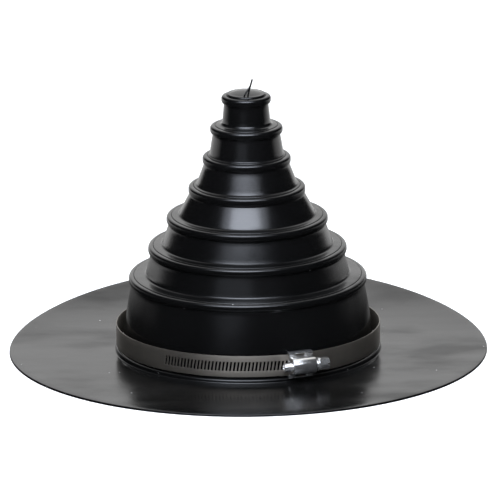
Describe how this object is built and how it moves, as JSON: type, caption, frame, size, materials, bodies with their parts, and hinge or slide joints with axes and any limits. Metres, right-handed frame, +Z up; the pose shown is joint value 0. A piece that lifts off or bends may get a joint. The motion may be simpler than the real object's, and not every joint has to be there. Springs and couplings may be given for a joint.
{
  "type": "pipe boot with clamp",
  "caption": "Stepped rubber cone with a wide round flange that seals a pipe through a roof, with a worm-drive band clamp lying round its foot.",
  "frame": {"origin": "centre of the flange's underside, on the axis of the cone", "axes": "+Z up along the cone's axis; -Y is the front that the picture shows, with the clamp's housing turned from it towards +X"},
  "size_m": [0.3184, 0.3184, 0.1861],
  "materials": {
    "boot_rubber": "smooth semi-gloss black moulded rubber",
    "black_wire": "black coating",
    "band_steel": "rolled stainless strip",
    "housing_steel": "bright pressed stainless",
    "screw_steel": "bright plated steel"
  },
  "bodies": {
    "boot": {"rubber_boot": "boot_rubber", "tie_wire": "black_wire", "clamp_band": "band_steel", "clamp_saddle": "housing_steel", "clamp_housing": "housing_steel"},
    "screw": {"worm_screw": "screw_steel"}
  },
  "joints": [
    {"name": "screw_turn", "type": "hinge", "parent": "boot", "child": "screw", "pos_m": [0.03565, -0.08598, 0.01315], "axis": [0.9239, 0.3827, -0.0037], "continuous": true}
  ]
}
